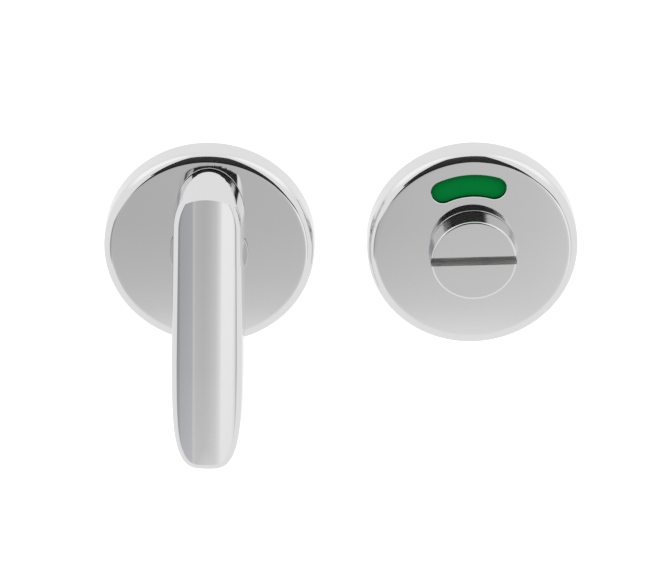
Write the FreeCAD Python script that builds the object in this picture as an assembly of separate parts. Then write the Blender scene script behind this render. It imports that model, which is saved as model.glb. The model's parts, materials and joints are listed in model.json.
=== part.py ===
import FreeCAD, Part
import math
import os

# Bathroom thumb turn lock: a lever turn for the inside and a coin release with
# an indicator window for the outside, laid side by side, both facing -Y.
# Origin: centre of the back of the turn rose, on the turn axis. The door face
# is the plane y = 0, +Y runs into the door, +Z is up, +X runs to the release.

V = FreeCAD.Vector
OUT = V(0, -1, 0)

# Setting out
AXIS_SPACING = 64.5
FIXING_INSET = 7.0
SCREW_INSET = 6.5

# Rose covers, pressed cups
ROSE_R = 26.0
ROSE_DEPTH = 7.1
ROSE_TAPER = 0.2
ROSE_EDGE = 2.3
COVER_WALL = 1.2
COVER_HOLE_R = 8.9

# Bases behind the covers
BASE_SNAP = 0.04
BASE_PLATE = 3.4
HUB_R = 11.2
HUB_FRONT = 3.8
RECESS_R = 10.4
RECESS_DEPTH = 2.2
POCKET_DEPTH = 1.6
POCKET_WALL = 1.6
POCKET_W = 4.4
POCKET_HALF = 22.0
POCKET_PLACES = (60.0, 120.0, 240.0, 300.0)

# Shafts turning in nylon bushes
SHAFT_R = 7.0
RUNNING_FIT = 0.05
BUSH_WALL = 1.5
BUSH_LIP = 0.6
BUSH_LIP_R = 9.8
SHAFT_END = 0.3
SHAFT_CHAMFER = 0.3
SPACE = 0.3

# Retaining rings and washers
CLIP_THICK = 0.8
CLIP_GROOVE = 0.5
CLIP_BAND = 1.7
CLIP_EAR_R = 1.1
CLIP_EAR_HOLE_R = 0.5
CLIP_GAP = 2.2
CLIP_FIT = 0.05
CLIP_SET_BACK = 0.3
WASHER_THICK = 0.5
WASHER_R = 9.6
WASHER_FIT = 0.1

# Square spindle and its pin
SPINDLE_A = 5.0
SPINDLE_FIT = 0.05
SPINDLE_INTO_DOOR = 40.0
SPINDLE_INTO_LEVER = 5.0
SPINDLE_CHAMFER = 0.5
PIN_R = 1.0
PIN_BORE_R = 0.45
PIN_FIT = 0.03
PIN_SPRUNG = 0.5
PIN_SHORT = 0.4
PIN_AHEAD = 0.6

# Lever of the turn: heights are measured forward from the rose face
BOSS_R = 9.6
BOSS_H = 1.3
BOSS_EDGE = 0.3
LEVER_BACK_H = 0.4
LEVER_HOOD_H = 1.8
LEVER_FRONT_H = 11.2
LEVER_TOP_BACK_Z = 22.1
LEVER_TOP_FRONT_Z = 18.96
REST_TURN = 1.5
LEVER_TIP_Z = -55.6
LEVER_TIP_LONG = 29.5
LEVER_TIP_SQUARE = 3.7
LEVER_HALF_TOP = 8.45
LEVER_HALF_LOW = 9.1
LEVER_DRAFT = 0.45
LEVER_CROWN_R = 27.0
LEVER_LEAN = 1.2
LEVER_EDGE = 1.3
LEVER_ARCH_HALF = 8.75
LEVER_ARCH_LONG = 12.0
LEVER_ARCH_TAPER = 0.4
LEVER_HOOD_HALF = 9.5
LEVER_HOOD_LONG = 9.5
LEVER_BACK_EDGE = 0.6
TIP_STEPS = 12
GRIP_START_Z = -13.0
GRIP_RISE = 3.4
GRIP_BEND = 0.33

# Knob of the coin release
KNOB_R = 10.85
KNOB_FRONT_R = 10.4
KNOB_H = 5.4
KNOB_EDGE = 0.45
KNOB_BACK_EDGE = 0.25
COIN_SLOT_W = 2.3
COIN_SLOT_TURN = -1.6
COIN_SLOT_DEPTH = 2.3
SOCKET_A = 5.2
SOCKET_DEPTH = 9.0

# Indicator behind the window
WINDOW_RIM = 5.8
WINDOW_W = 5.8
WINDOW_HALF = 21.5
WINDOW_TURN = 3.8
WINDOW_EDGE = 0.25
DISC_CLEAR = 2.0
DISC_THICK = 0.8
DISC_GAP = 0.4
DISC_FIT = 0.02
LABEL_THICK = 0.15
LABEL_SPLIT = 6.0
LABEL_MARGIN = 1.4
LABEL_EDGE = 0.4
STOP_R = 14.0
STOP_LUG_R = 1.3
STOP_LUG_REACH = 2.4
STOP_START = 225.0
TRAVEL = 90.0

# Fixing bolts, through the door from the turn side
BOLT_R = 2.0
BOLT_HEAD_R = 3.6
BOLT_HEAD_H = 2.4
BOLT_HEAD_EDGE = 0.8
BOLT_HEAD_SUNK = 1.2
BOLT_NECK_R = 1.75
BOLT_NECK_OUT = 0.4
BOLT_END = 0.4
BOLT_BEHIND = 26.0
BOLT_CLEAR = 0.25
DRIVE_W = 0.9
DRIVE_L = 4.4
DRIVE_DEPTH = 1.3
LUG_R = 4.5
LUG_LONG = 11.0
LUG_EDGE = 0.5
LUG_THREAD_R = 1.65
LUG_THREAD_DEPTH = 12.5

# Wood screws
SCREW_R = 1.6
SCREW_HEAD_R = 3.2
SCREW_BEHIND = 11.0
SCREW_POINT = 3.0
SCREW_POINT_R = 0.2
SCREW_CLEAR = 0.2
SCREW_SEAT_FIT = 0.05
SCREW_DRIVE_DEPTH = 1.1
SCREW_DRIVE_W = 0.8
SCREW_DRIVE_L = 3.6

# Levels worked out from the values above, as distances in front of the door
INNER_R = ROSE_R - COVER_WALL - ROSE_TAPER
INNER_EDGE = ROSE_EDGE - COVER_WALL
FIXING_X = ROSE_R - FIXING_INSET
SCREW_Z = ROSE_R - SCREW_INSET
UNDER_COVER = ROSE_DEPTH - COVER_WALL
WINDOW_MID_R = ROSE_R - WINDOW_RIM - WINDOW_W / 2.0
WINDOW_IN_R = WINDOW_MID_R - WINDOW_W / 2.0
DISC_R = INNER_R - DISC_CLEAR
LABEL_OUT_R = DISC_R - LABEL_EDGE
LABEL_IN_R = WINDOW_IN_R - LABEL_MARGIN
LABEL_HALF = TRAVEL / 2.0 - LABEL_SPLIT
BUSH_R = SHAFT_R + RUNNING_FIT + BUSH_WALL
DISC_FRONT = UNDER_COVER - DISC_GAP
DISC_BACK = DISC_FRONT - DISC_THICK
CLIP_BACK = SHAFT_END + CLIP_SET_BACK
CLIP_FRONT = CLIP_BACK + CLIP_THICK
WASHER_FRONT = CLIP_FRONT + WASHER_FIT + WASHER_THICK
PIN_FRONT = HUB_FRONT + PIN_AHEAD
BOLT_SEAT = BASE_PLATE - BOLT_HEAD_SUNK
SCREW_CONE = SCREW_HEAD_R - SCREW_R


def at(x, front, z=0.0):
    """Point at x, z and a distance in front of the door face."""
    return V(x, -front, z)


def rod(x, r, back, front, z=0.0):
    """Cylinder along Y between two distances in front of the door."""
    return Part.makeCylinder(r, front - back, at(x, back, z), OUT)


def ring(x, r_in, r_out, back, front):
    return rod(x, r_out, back, front).cut(rod(x, r_in, back - 1, front + 1))


def square_bar(x, side, back, front):
    half = side / 2.0
    return Part.makeBox(side, front - back, side, V(x - half, -front, -half))


def edges_at(shape, front, r, x):
    """Round edges of radius r on the axis at x, at one distance from the door."""
    found = []
    for edge in shape.Edges:
        curve = edge.Curve
        if not isinstance(curve, Part.Circle):
            continue
        centre = curve.Center
        if abs(curve.Radius - r) > 1e-3 or abs(centre.y + front) > 1e-3:
            continue
        if math.hypot(centre.x - x, centre.z) < 1e-3:
            found.append(edge)
    return found


def polar(x, r, degrees, front):
    """Point on a circle about an axis, angles from +X towards +Z."""
    a = math.radians(degrees)
    return V(x + r * math.cos(a), -front, r * math.sin(a))


def arc_slot(x, mid_r, half_w, start, end, back, front):
    """Curved slot with round ends between two angles."""
    inner = mid_r - half_w
    outer = mid_r + half_w
    mid = (start + end) / 2.0
    edges = [
        Part.Arc(polar(x, outer, start, back), polar(x, outer, mid, back),
                 polar(x, outer, end, back)).toShape(),
        round_end(x, mid_r, half_w, end, back, 1),
        Part.Arc(polar(x, inner, end, back), polar(x, inner, mid, back),
                 polar(x, inner, start, back)).toShape(),
        round_end(x, mid_r, half_w, start, back, -1),
    ]
    face = Part.Face(Part.Wire(edges))
    return face.extrude(V(0, -(front - back), 0))


def round_end(x, mid_r, half_w, angle, front, way):
    first = polar(x, mid_r + way * half_w, angle, front)
    last = polar(x, mid_r - way * half_w, angle, front)
    a = math.radians(angle)
    side = V(-math.sin(a), 0, math.cos(a)) * (way * half_w)
    return Part.Arc(first, polar(x, mid_r, angle, front) + side, last).toShape()


def sector(x, r_in, r_out, middle, half, back, front):
    """Flat ring sector for a label."""
    start = middle - half
    end = middle + half
    edges = [
        Part.Arc(polar(x, r_out, start, back), polar(x, r_out, middle, back),
                 polar(x, r_out, end, back)).toShape(),
        Part.makeLine(polar(x, r_out, end, back), polar(x, r_in, end, back)),
        Part.Arc(polar(x, r_in, end, back), polar(x, r_in, middle, back),
                 polar(x, r_in, start, back)).toShape(),
        Part.makeLine(polar(x, r_in, start, back), polar(x, r_out, start, back)),
    ]
    return Part.Face(Part.Wire(edges)).extrude(V(0, -(front - back), 0))


# Rose covers
def rose_cover(x):
    cup = Part.makeCone(ROSE_R, ROSE_R - ROSE_TAPER, ROSE_DEPTH, at(x, 0), OUT)
    rim = edges_at(cup, ROSE_DEPTH, ROSE_R - ROSE_TAPER, x)
    cup = cup.makeFillet(ROSE_EDGE, rim)
    hollow = rod(x, INNER_R, 0, UNDER_COVER)
    hollow = hollow.makeFillet(INNER_EDGE, edges_at(hollow, UNDER_COVER, INNER_R, x))
    return cup.cut(hollow).cut(rod(x, COVER_HOLE_R, 0, ROSE_DEPTH + 1))


def release_cover(x):
    """Cover with the curved indicator window above its centre."""
    cover = rose_cover(x)
    middle = 90.0 + WINDOW_TURN
    window = arc_slot(x, WINDOW_MID_R, WINDOW_W / 2.0, middle - WINDOW_HALF,
                      middle + WINDOW_HALF, UNDER_COVER - 1, ROSE_DEPTH + 1)
    cover = cover.cut(window)
    lip = []
    for edge in cover.Edges:
        box = edge.BoundBox
        flat = abs(box.YMin + ROSE_DEPTH) < 1e-4 and abs(box.YMax + ROSE_DEPTH) < 1e-4
        reach = math.hypot(edge.CenterOfMass.x - x, edge.CenterOfMass.z)
        if flat and box.ZMin > COVER_HOLE_R and reach < DISC_R:
            lip.append(edge)
    return cover.makeChamfer(WINDOW_EDGE, lip)


# Bases
def base_plate(x):
    """Round base with hub, bush bore and the recess for washer and clip."""
    base = rod(x, INNER_R - BASE_SNAP, 0, BASE_PLATE)
    base = base.fuse(rod(x, HUB_R, 0, HUB_FRONT)).removeSplitter()
    base = base.cut(rod(x, BUSH_R, -1, HUB_FRONT + 1))
    base = base.cut(rod(x, RECESS_R, -1, RECESS_DEPTH))
    for side in (-1, 1):
        base = base.cut(screw_seat(x, side * SCREW_Z))
    return base


def back_pockets(x):
    """Shallow pockets that lighten the back of the turn's base."""
    inner = RECESS_R + POCKET_WALL
    return [sector(x, inner, inner + POCKET_W, middle, POCKET_HALF, 0, POCKET_DEPTH)
            for middle in POCKET_PLACES]


def turn_base(x):
    base = base_plate(x)
    for side in (-1, 1):
        place = x + side * FIXING_X
        base = base.cut(rod(place, BOLT_R + BOLT_CLEAR, -1, BASE_PLATE + 1))
        base = base.cut(rod(place, BOLT_HEAD_R + BOLT_CLEAR, BOLT_SEAT, BASE_PLATE + 1))
    for pocket in back_pockets(x):
        base = base.cut(pocket)
    return base


def release_base(x):
    """Base with two threaded lugs and the slot that stops the indicator."""
    base = base_plate(x)
    for side in (-1, 1):
        place = x + side * FIXING_X
        lug = rod(place, LUG_R, -LUG_LONG, BASE_PLATE)
        lug = lug.makeChamfer(LUG_EDGE, edges_at(lug, -LUG_LONG, LUG_R, place))
        base = base.fuse(lug)
        base = base.cut(rod(place, LUG_THREAD_R, -LUG_LONG - 1, LUG_THREAD_DEPTH - LUG_LONG))
    half_w = STOP_LUG_R + SPACE
    spare = math.degrees(SPACE / STOP_R)
    slot = arc_slot(x, STOP_R, half_w, STOP_START - spare, STOP_START + TRAVEL + spare,
                    -1, BASE_PLATE + 1)
    return base.cut(slot)


# Bushes, washers and retaining rings
def bush(x):
    """Flanged nylon bush pressed into the base from the front."""
    tube = ring(x, SHAFT_R + RUNNING_FIT, BUSH_R, RECESS_DEPTH, HUB_FRONT)
    lip = ring(x, SHAFT_R + RUNNING_FIT, BUSH_LIP_R, HUB_FRONT, HUB_FRONT + BUSH_LIP)
    return tube.fuse(lip).removeSplitter()


def washer(x):
    back = WASHER_FRONT - WASHER_THICK
    return ring(x, SHAFT_R + WASHER_FIT, WASHER_R, back, WASHER_FRONT)


def retaining_ring(x):
    """External ring with two pierced ears, open at the bottom."""
    inner = SHAFT_R - CLIP_GROOVE
    outer = inner + CLIP_BAND
    clip = ring(x, inner, outer, CLIP_BACK, CLIP_FRONT)
    gap = Part.makeBox(CLIP_GAP, CLIP_FRONT, 2 * outer, V(x - CLIP_GAP / 2.0, -CLIP_FRONT, -2 * outer))
    ear_x = CLIP_GAP / 2.0 + CLIP_EAR_R
    ear_z = CLIP_EAR_R / 5.0 - outer
    for side in (-1, 1):
        clip = clip.fuse(rod(x + side * ear_x, CLIP_EAR_R, CLIP_BACK, CLIP_FRONT, ear_z))
    clip = clip.cut(gap).cut(rod(x, inner, 0, CLIP_FRONT + 1))
    for side in (-1, 1):
        clip = clip.cut(rod(x + side * ear_x, CLIP_EAR_HOLE_R, 0, CLIP_FRONT + 1, ear_z))
    return clip.removeSplitter()


def groove(x):
    return ring(x, SHAFT_R - CLIP_GROOVE, SHAFT_R + 1, CLIP_BACK - CLIP_FIT, CLIP_FRONT + CLIP_FIT)


# Fixings
def cross_drive(x, z, front, depth, wide, long):
    tall = Part.makeBox(wide, depth + 1, long, V(x - wide / 2, -front - 1, z - long / 2))
    flat = Part.makeBox(long, depth + 1, wide, V(x - long / 2, -front - 1, z - wide / 2))
    return tall.fuse(flat)


def fixing_bolt(x):
    """Pan head bolt from the turn base into the door, thinner under its head."""
    top = BOLT_SEAT + BOLT_HEAD_H
    head = rod(x, BOLT_HEAD_R, BOLT_SEAT, top)
    head = head.makeFillet(BOLT_HEAD_EDGE, edges_at(head, top, BOLT_HEAD_R, x))
    neck = rod(x, BOLT_NECK_R, -BOLT_NECK_OUT, BOLT_SEAT)
    stem = rod(x, BOLT_R, -BOLT_BEHIND, -BOLT_NECK_OUT)
    stem = stem.makeChamfer(BOLT_END, edges_at(stem, -BOLT_BEHIND, BOLT_R, x))
    bolt = head.fuse(neck).fuse(stem)
    return bolt.cut(cross_drive(x, 0, top, DRIVE_DEPTH, DRIVE_W, DRIVE_L))


def screw_seat(x, z):
    fit = SCREW_SEAT_FIT
    hole = rod(x, SCREW_R + SCREW_CLEAR, -1, BASE_PLATE, z)
    sink = Part.makeCone(SCREW_R + fit, SCREW_HEAD_R + fit, SCREW_CONE,
                         at(x, BASE_PLATE - SCREW_CONE, z), OUT)
    return hole.fuse(sink)


def wood_screw(x, z):
    """Countersunk screw, flush with the front of the base."""
    head = Part.makeCone(SCREW_R, SCREW_HEAD_R, SCREW_CONE, at(x, BASE_PLATE - SCREW_CONE, z), OUT)
    stem = rod(x, SCREW_R, SCREW_POINT - SCREW_BEHIND, BASE_PLATE - SCREW_CONE, z)
    point = Part.makeCone(SCREW_POINT_R, SCREW_R, SCREW_POINT, at(x, -SCREW_BEHIND, z), OUT)
    drive = cross_drive(x, z, BASE_PLATE, SCREW_DRIVE_DEPTH, SCREW_DRIVE_W, SCREW_DRIVE_L)
    return head.fuse(stem).fuse(point).cut(drive)


# Lever
def half_ellipse(front, centre_z, half, long, way):
    """Half an ellipse that is longer than wide, its end up or down."""
    y = -front
    centre = V(0, y, centre_z)
    whole = Part.Ellipse(V(0, y, centre_z + way * long), V(half, y, centre_z), centre)
    low = min(centre_z, centre_z + 2 * way * long)
    keep = Part.makeBox(4 * half, 2, 2 * long, V(-2 * half, y - 1, low))
    return whole.toShape().common(keep).Edges


def tip_curve(front, half, long, tip_z):
    """Blunt round tip, fuller than an ellipse, as one smooth curve from side to side."""
    points = []
    for step in range(TIP_STEPS + 1):
        a = math.pi * step / TIP_STEPS
        across = math.copysign(abs(math.cos(a)) ** (2.0 / LEVER_TIP_SQUARE), math.cos(a))
        down = math.sin(a) ** (2.0 / LEVER_TIP_SQUARE)
        points.append(at(half * across, front, tip_z + long * (1.0 - down)))
    curve = Part.BSplineCurve()
    curve.interpolate(Points=points, InitialTangent=V(0, 0, -long), FinalTangent=V(0, 0, long))
    return curve.toShape()


def lever_outline(front, half_top, half_low, tip_z):
    """Sides and long round tip seen from the front, left straight at the top."""
    y = -front
    high = LEVER_TOP_BACK_Z + LEVER_ARCH_LONG / 2.0
    knee_z = tip_z + LEVER_TIP_LONG
    tip = tip_curve(front, half_low, LEVER_TIP_LONG, tip_z)
    right = Part.makeLine(V(half_top, y, high), V(half_low, y, knee_z))
    left = Part.makeLine(V(-half_low, y, knee_z), V(-half_top, y, high))
    top = Part.makeLine(V(-half_top, y, high), V(half_top, y, high))
    return Part.Wire(Part.__sortEdges__([top, right, tip, left]))


def arch_outline(front, top_z, half, long):
    """Round arch of the top end, running far down past the tip."""
    y = -front
    centre = top_z - long
    wide = half + 2 * LEVER_EDGE
    low = LEVER_TIP_Z - long
    arch = half_ellipse(front, centre, half, long, 1)
    right = Part.makeLine(V(half, y, centre), V(wide, y, low))
    bottom = Part.makeLine(V(wide, y, low), V(-wide, y, low))
    left = Part.makeLine(V(-wide, y, low), V(-half, y, centre))
    return Part.Wire(Part.__sortEdges__(arch + [right, bottom, left]))


def grip_hollow():
    """Wedge with a curved face that thins the back of the lever towards its tip."""
    wide = 2 * LEVER_HALF_LOW
    y = -(ROSE_DEPTH + LEVER_BACK_H)
    low = LEVER_TIP_Z - GRIP_RISE
    start = V(-wide, y, GRIP_START_Z)
    bend = V(-wide, y - GRIP_BEND * GRIP_RISE, (GRIP_START_Z + low) / 2.0)
    end = V(-wide, y - GRIP_RISE, low)
    behind_low = V(-wide, y + GRIP_RISE, low)
    behind_high = V(-wide, y + GRIP_RISE, GRIP_START_Z)
    edges = [
        Part.Arc(start, bend, end).toShape(),
        Part.makeLine(end, behind_low),
        Part.makeLine(behind_low, behind_high),
        Part.makeLine(behind_high, start),
    ]
    return Part.Face(Part.Wire(edges)).extrude(V(2 * wide, 0, 0))


def front_edges(bar):
    """Edges of the crowned front down both sides and round the tip."""
    behind = -(ROSE_DEPTH + (LEVER_BACK_H + LEVER_FRONT_H) / 2.0)
    found = []
    for edge in bar.Edges:
        ends = [v.Point for v in edge.Vertexes]
        across = all(p.z > LEVER_TOP_BACK_Z for p in ends)
        along_middle = max(abs(p.x) for p in ends) < 1e-6
        if not across and not along_middle and all(p.y < behind for p in ends):
            found.append(edge)
    return found


def crown():
    """Long cylinder whose face is the lever's crowned front, leaning forward at the tip."""
    lean = math.radians(LEVER_LEAN)
    down = V(0, -math.sin(lean), -math.cos(lean))
    long = LEVER_TOP_BACK_Z - LEVER_TIP_Z
    start = at(0, ROSE_DEPTH + LEVER_FRONT_H - LEVER_CROWN_R, LEVER_TOP_FRONT_Z)
    return Part.makeCylinder(LEVER_CROWN_R, 2 * long, start - down * (long / 2.0), down)


def lever_bar():
    """Bar with a crowned front, soft edges, a thinned grip and a sloping top end."""
    back = ROSE_DEPTH + LEVER_BACK_H
    face = ROSE_DEPTH + LEVER_FRONT_H
    hood = ROSE_DEPTH + LEVER_HOOD_H
    slope = (LEVER_TOP_BACK_Z - LEVER_TOP_FRONT_Z) / (face - hood)
    slim = 1.2 * LEVER_DRAFT
    front = back + 1.2 * (face - back)
    wide = lever_outline(back, LEVER_HALF_TOP, LEVER_HALF_LOW, LEVER_TIP_Z)
    narrow = lever_outline(front, LEVER_HALF_TOP - slim, LEVER_HALF_LOW - slim,
                           LEVER_TIP_Z + slim)
    bar = Part.makeLoft([wide, narrow], True, True)
    bar = bar.common(crown()).cut(grip_hollow()).removeSplitter()
    bar = bar.makeFillet(LEVER_EDGE, front_edges(bar))
    end = [
        arch_outline(back - 1.0, LEVER_TOP_BACK_Z, LEVER_ARCH_HALF, LEVER_ARCH_LONG),
        arch_outline(face + 1.0, LEVER_TOP_BACK_Z, LEVER_ARCH_HALF - LEVER_ARCH_TAPER,
                     LEVER_ARCH_LONG),
    ]
    slant = [
        arch_outline(y, LEVER_TOP_BACK_Z - slope * (y - hood), LEVER_HOOD_HALF, LEVER_HOOD_LONG)
        for y in (back - 1.0, face + 1.0)
    ]
    bar = bar.common(Part.makeLoft(end, True, True))
    return bar.common(Part.makeLoft(slant, True, True))


def grip_edges(bar):
    """Edges between the grip face and the sides of the lever."""
    deepest = -(ROSE_DEPTH + LEVER_BACK_H + GRIP_RISE)
    found = []
    for edge in bar.Edges:
        ends = [v.Point for v in edge.Vertexes]
        on_back = all(p.y > deepest for p in ends)
        below = all(p.z < GRIP_START_Z + 1e-3 for p in ends)
        same_height = abs(ends[0].z - ends[-1].z) < 1e-3
        if on_back and below and not same_height:
            found.append(edge)
    return found


def turn_lever(x=0.0):
    """Lever with its round boss and the shaft that carries clip, pin and spindle."""
    bar = lever_bar()
    bar = bar.makeChamfer(LEVER_BACK_EDGE, grip_edges(bar))
    boss = rod(x, BOSS_R, ROSE_DEPTH + SPACE, ROSE_DEPTH + BOSS_H)
    boss = boss.makeFillet(BOSS_EDGE, edges_at(boss, ROSE_DEPTH + BOSS_H, BOSS_R, x))
    shaft = rod(x, SHAFT_R, SHAFT_END, ROSE_DEPTH + BOSS_H)
    shaft = shaft.makeChamfer(SHAFT_CHAMFER, edges_at(shaft, SHAFT_END, SHAFT_R, x))
    lever = bar.fuse(boss).fuse(shaft).removeSplitter()
    lever = lever.cut(groove(x))
    hole = square_bar(x, SPINDLE_A + 2 * SPINDLE_FIT, -1, ROSE_DEPTH + SPINDLE_INTO_LEVER + SPACE)
    lever = lever.cut(hole)
    return lever.cut(cross_pin_hole(x))


def cross_pin_hole(x):
    start = at(x - 2 * SHAFT_R, PIN_FRONT)
    return Part.makeCylinder(PIN_R + PIN_FIT, 4 * SHAFT_R, start, V(1, 0, 0))


def spindle(x=0.0):
    """Square bar from the lever into the door, cross drilled for its pin."""
    bar = square_bar(x, SPINDLE_A, -SPINDLE_INTO_DOOR, ROSE_DEPTH + SPINDLE_INTO_LEVER)
    end = [e for e in bar.Edges if e.BoundBox.YMin > SPINDLE_INTO_DOOR - 1e-4]
    return bar.makeChamfer(SPINDLE_CHAMFER, end).cut(cross_pin_hole(x))


def spindle_pin(x=0.0):
    """Rolled spring pin, slit along its length, flush inside the shaft."""
    long = 2 * (SHAFT_R - PIN_SHORT)
    start = at(x - long / 2, PIN_FRONT)
    pin = Part.makeCylinder(PIN_R, long, start, V(1, 0, 0))
    pin = pin.cut(Part.makeCylinder(PIN_BORE_R, long + 2, start - V(1, 0, 0), V(1, 0, 0)))
    slit = Part.makeBox(long + 2, 2 * PIN_R, PIN_SPRUNG,
                        V(x - long / 2 - 1, -PIN_FRONT, -PIN_SPRUNG / 2))
    return pin.cut(slit)


# Coin release
def release_knob(x):
    """Slightly tapered knob with a coin slot, its shaft socketed for the spindle."""
    back = ROSE_DEPTH + SPACE
    front = ROSE_DEPTH + KNOB_H
    knob = Part.makeCone(KNOB_R, KNOB_FRONT_R, front - back, at(x, back), OUT)
    knob = knob.makeFillet(KNOB_EDGE, edges_at(knob, front, KNOB_FRONT_R, x))
    knob = knob.makeFillet(KNOB_BACK_EDGE, edges_at(knob, back, KNOB_R, x))
    shaft = rod(x, SHAFT_R, SHAFT_END, back + 1)
    shaft = shaft.makeChamfer(SHAFT_CHAMFER, edges_at(shaft, SHAFT_END, SHAFT_R, x))
    knob = knob.fuse(shaft).removeSplitter()
    slot = Part.makeBox(4 * KNOB_R, COIN_SLOT_DEPTH + 1, COIN_SLOT_W,
                        V(x - 2 * KNOB_R, -front - 1, -COIN_SLOT_W / 2))
    slot.rotate(at(x, 0), V(0, 1, 0), COIN_SLOT_TURN)
    knob = knob.cut(slot).cut(groove(x))
    return knob.cut(square_bar(x, SOCKET_A, -1, SHAFT_END + SOCKET_DEPTH))


def indicator_disc(x):
    """Disc pressed on the shaft, with the lug that runs in the slot of the base."""
    disc = ring(x, SHAFT_R + DISC_FIT, DISC_R, DISC_BACK, DISC_FRONT)
    place = polar(x, STOP_R, STOP_START, 0)
    lug = rod(place.x, STOP_LUG_R, BASE_PLATE - STOP_LUG_REACH, DISC_FRONT, place.z)
    return disc.fuse(lug).removeSplitter()


def label(x, middle):
    """Coloured facing on the disc, wide enough to fill the window."""
    return sector(x, LABEL_IN_R, LABEL_OUT_R, middle, LABEL_HALF, DISC_FRONT,
                  DISC_FRONT + LABEL_THICK)


def pair(first, second):
    return Part.makeCompound([first, second])


def as_left(shape):
    """The turn as it was left in the picture, a little off plumb."""
    return shape.rotate(V(0, 0, 0), V(0, 1, 0), REST_TURN)


def build():
    left = 0.0
    right = AXIS_SPACING
    vacant = 90.0 + WINDOW_TURN
    return {
        "turn_cover": rose_cover(left),
        "turn_base": turn_base(left),
        "turn_bush": bush(left),
        "turn_lever": as_left(turn_lever()),
        "turn_washer": washer(left),
        "turn_clip": retaining_ring(left),
        "spindle": as_left(spindle()),
        "spindle_pin": as_left(spindle_pin()),
        "fixing_bolts": pair(fixing_bolt(left - FIXING_X), fixing_bolt(left + FIXING_X)),
        "turn_screws": pair(wood_screw(left, SCREW_Z), wood_screw(left, -SCREW_Z)),
        "release_cover": release_cover(right),
        "release_base": release_base(right),
        "release_bush": bush(right),
        "release_knob": release_knob(right),
        "release_washer": washer(right),
        "release_clip": retaining_ring(right),
        "indicator_disc": indicator_disc(right),
        "vacant_label": label(right, vacant),
        "engaged_label": label(right, vacant - TRAVEL),
        "release_screws": pair(wood_screw(right, SCREW_Z), wood_screw(right, -SCREW_Z)),
    }


os.makedirs("parts", exist_ok=True)
for name, shape in build().items():
    shape.exportStep("parts/" + name + ".step")
    print(name, shape.isValid(), len(shape.Solids), round(shape.Volume, 1))
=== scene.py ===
# %% [markdown]
# # A bathroom thumb turn lock in polished steel
# The set has two halves that lie side by side: a lever turn on the left, and on the right a
# coin release with a small window that shows green or red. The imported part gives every
# solid its true size and place. This lesson gives it its looks: a camera like the
# photographer's, a white studio for the mirror finish to reflect, and smooth new shapes
# for the pieces that are polished, because a mirror shows every flat facet.

# %% The frame
import json
import math
import bpy
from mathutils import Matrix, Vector


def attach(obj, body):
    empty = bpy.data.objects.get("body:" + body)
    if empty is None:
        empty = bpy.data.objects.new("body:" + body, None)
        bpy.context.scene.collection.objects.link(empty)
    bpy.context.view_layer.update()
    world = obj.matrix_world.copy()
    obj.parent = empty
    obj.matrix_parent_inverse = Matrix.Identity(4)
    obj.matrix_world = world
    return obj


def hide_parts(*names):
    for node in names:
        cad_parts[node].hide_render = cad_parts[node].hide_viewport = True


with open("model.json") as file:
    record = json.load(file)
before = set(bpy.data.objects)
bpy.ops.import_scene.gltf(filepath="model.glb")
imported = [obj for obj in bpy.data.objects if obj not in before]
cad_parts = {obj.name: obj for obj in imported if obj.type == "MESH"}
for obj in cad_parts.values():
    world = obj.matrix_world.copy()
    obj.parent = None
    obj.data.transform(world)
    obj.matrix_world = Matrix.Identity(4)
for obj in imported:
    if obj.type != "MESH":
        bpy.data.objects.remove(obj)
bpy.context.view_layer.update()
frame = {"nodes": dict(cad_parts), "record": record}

MM = 0.001
SPACING = 64.5  # millimetres between the axes of the two roses
AXES = {"turn": 0.0, "release": SPACING * MM}
SMOOTH_ANGLE = math.radians(30.0)
WHITE = (1.0, 1.0, 1.0)

# %% [markdown]
# ## Helpers for working by hand in code
# Every operator acts on what is selected, so each step starts by selecting nothing and then
# one object. Faces are picked by a test on their centre and normal, which does in code what
# a click does on the screen.

# %% Selecting and editing
def only(obj):
    if bpy.context.mode != "OBJECT":
        bpy.ops.object.mode_set(mode="OBJECT")
    bpy.ops.object.select_all(action="DESELECT")
    obj.select_set(True)
    bpy.context.view_layer.objects.active = obj
    return obj


def finish_shape(obj, name):
    """Merges doubles, turns the faces outwards, places the mesh and smooths soft edges."""
    only(obj)
    obj.name = name
    obj.data.name = name
    bpy.ops.object.transform_apply(location=True, rotation=True, scale=True)
    bpy.ops.object.mode_set(mode="EDIT")
    bpy.ops.mesh.select_all(action="SELECT")
    bpy.ops.mesh.remove_doubles(threshold=0.002 * MM)
    bpy.ops.mesh.normals_make_consistent(inside=False)
    bpy.ops.object.mode_set(mode="OBJECT")
    bpy.ops.object.shade_smooth_by_angle(angle=SMOOTH_ANGLE)
    return obj


def cut_with(obj, cutter, keep="DIFFERENCE"):
    """Takes the cutter's volume out of the object, or keeps only what both hold."""
    only(obj)
    tool = obj.modifiers.new("cut", "BOOLEAN")
    tool.operation = keep
    tool.solver = "EXACT"
    tool.object = cutter
    bpy.ops.object.modifier_apply(modifier="cut")
    bpy.data.objects.remove(cutter, do_unlink=True)


def even_normals(obj):
    """Lets the large flat faces rule the shading, so that a mirror stays flat up to its edge."""
    only(obj)
    tool = obj.modifiers.new("even", "WEIGHTED_NORMAL")
    tool.keep_sharp = True
    tool.weight = 90
    bpy.ops.object.modifier_apply(modifier="even")


# %% [markdown]
# ## Camera
# The photographer stood well back with a long lens, about 27 degrees above the middle of the
# set and straight in front of it, so the round roses look like slightly flattened circles
# and both are seen from the same side.

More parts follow.
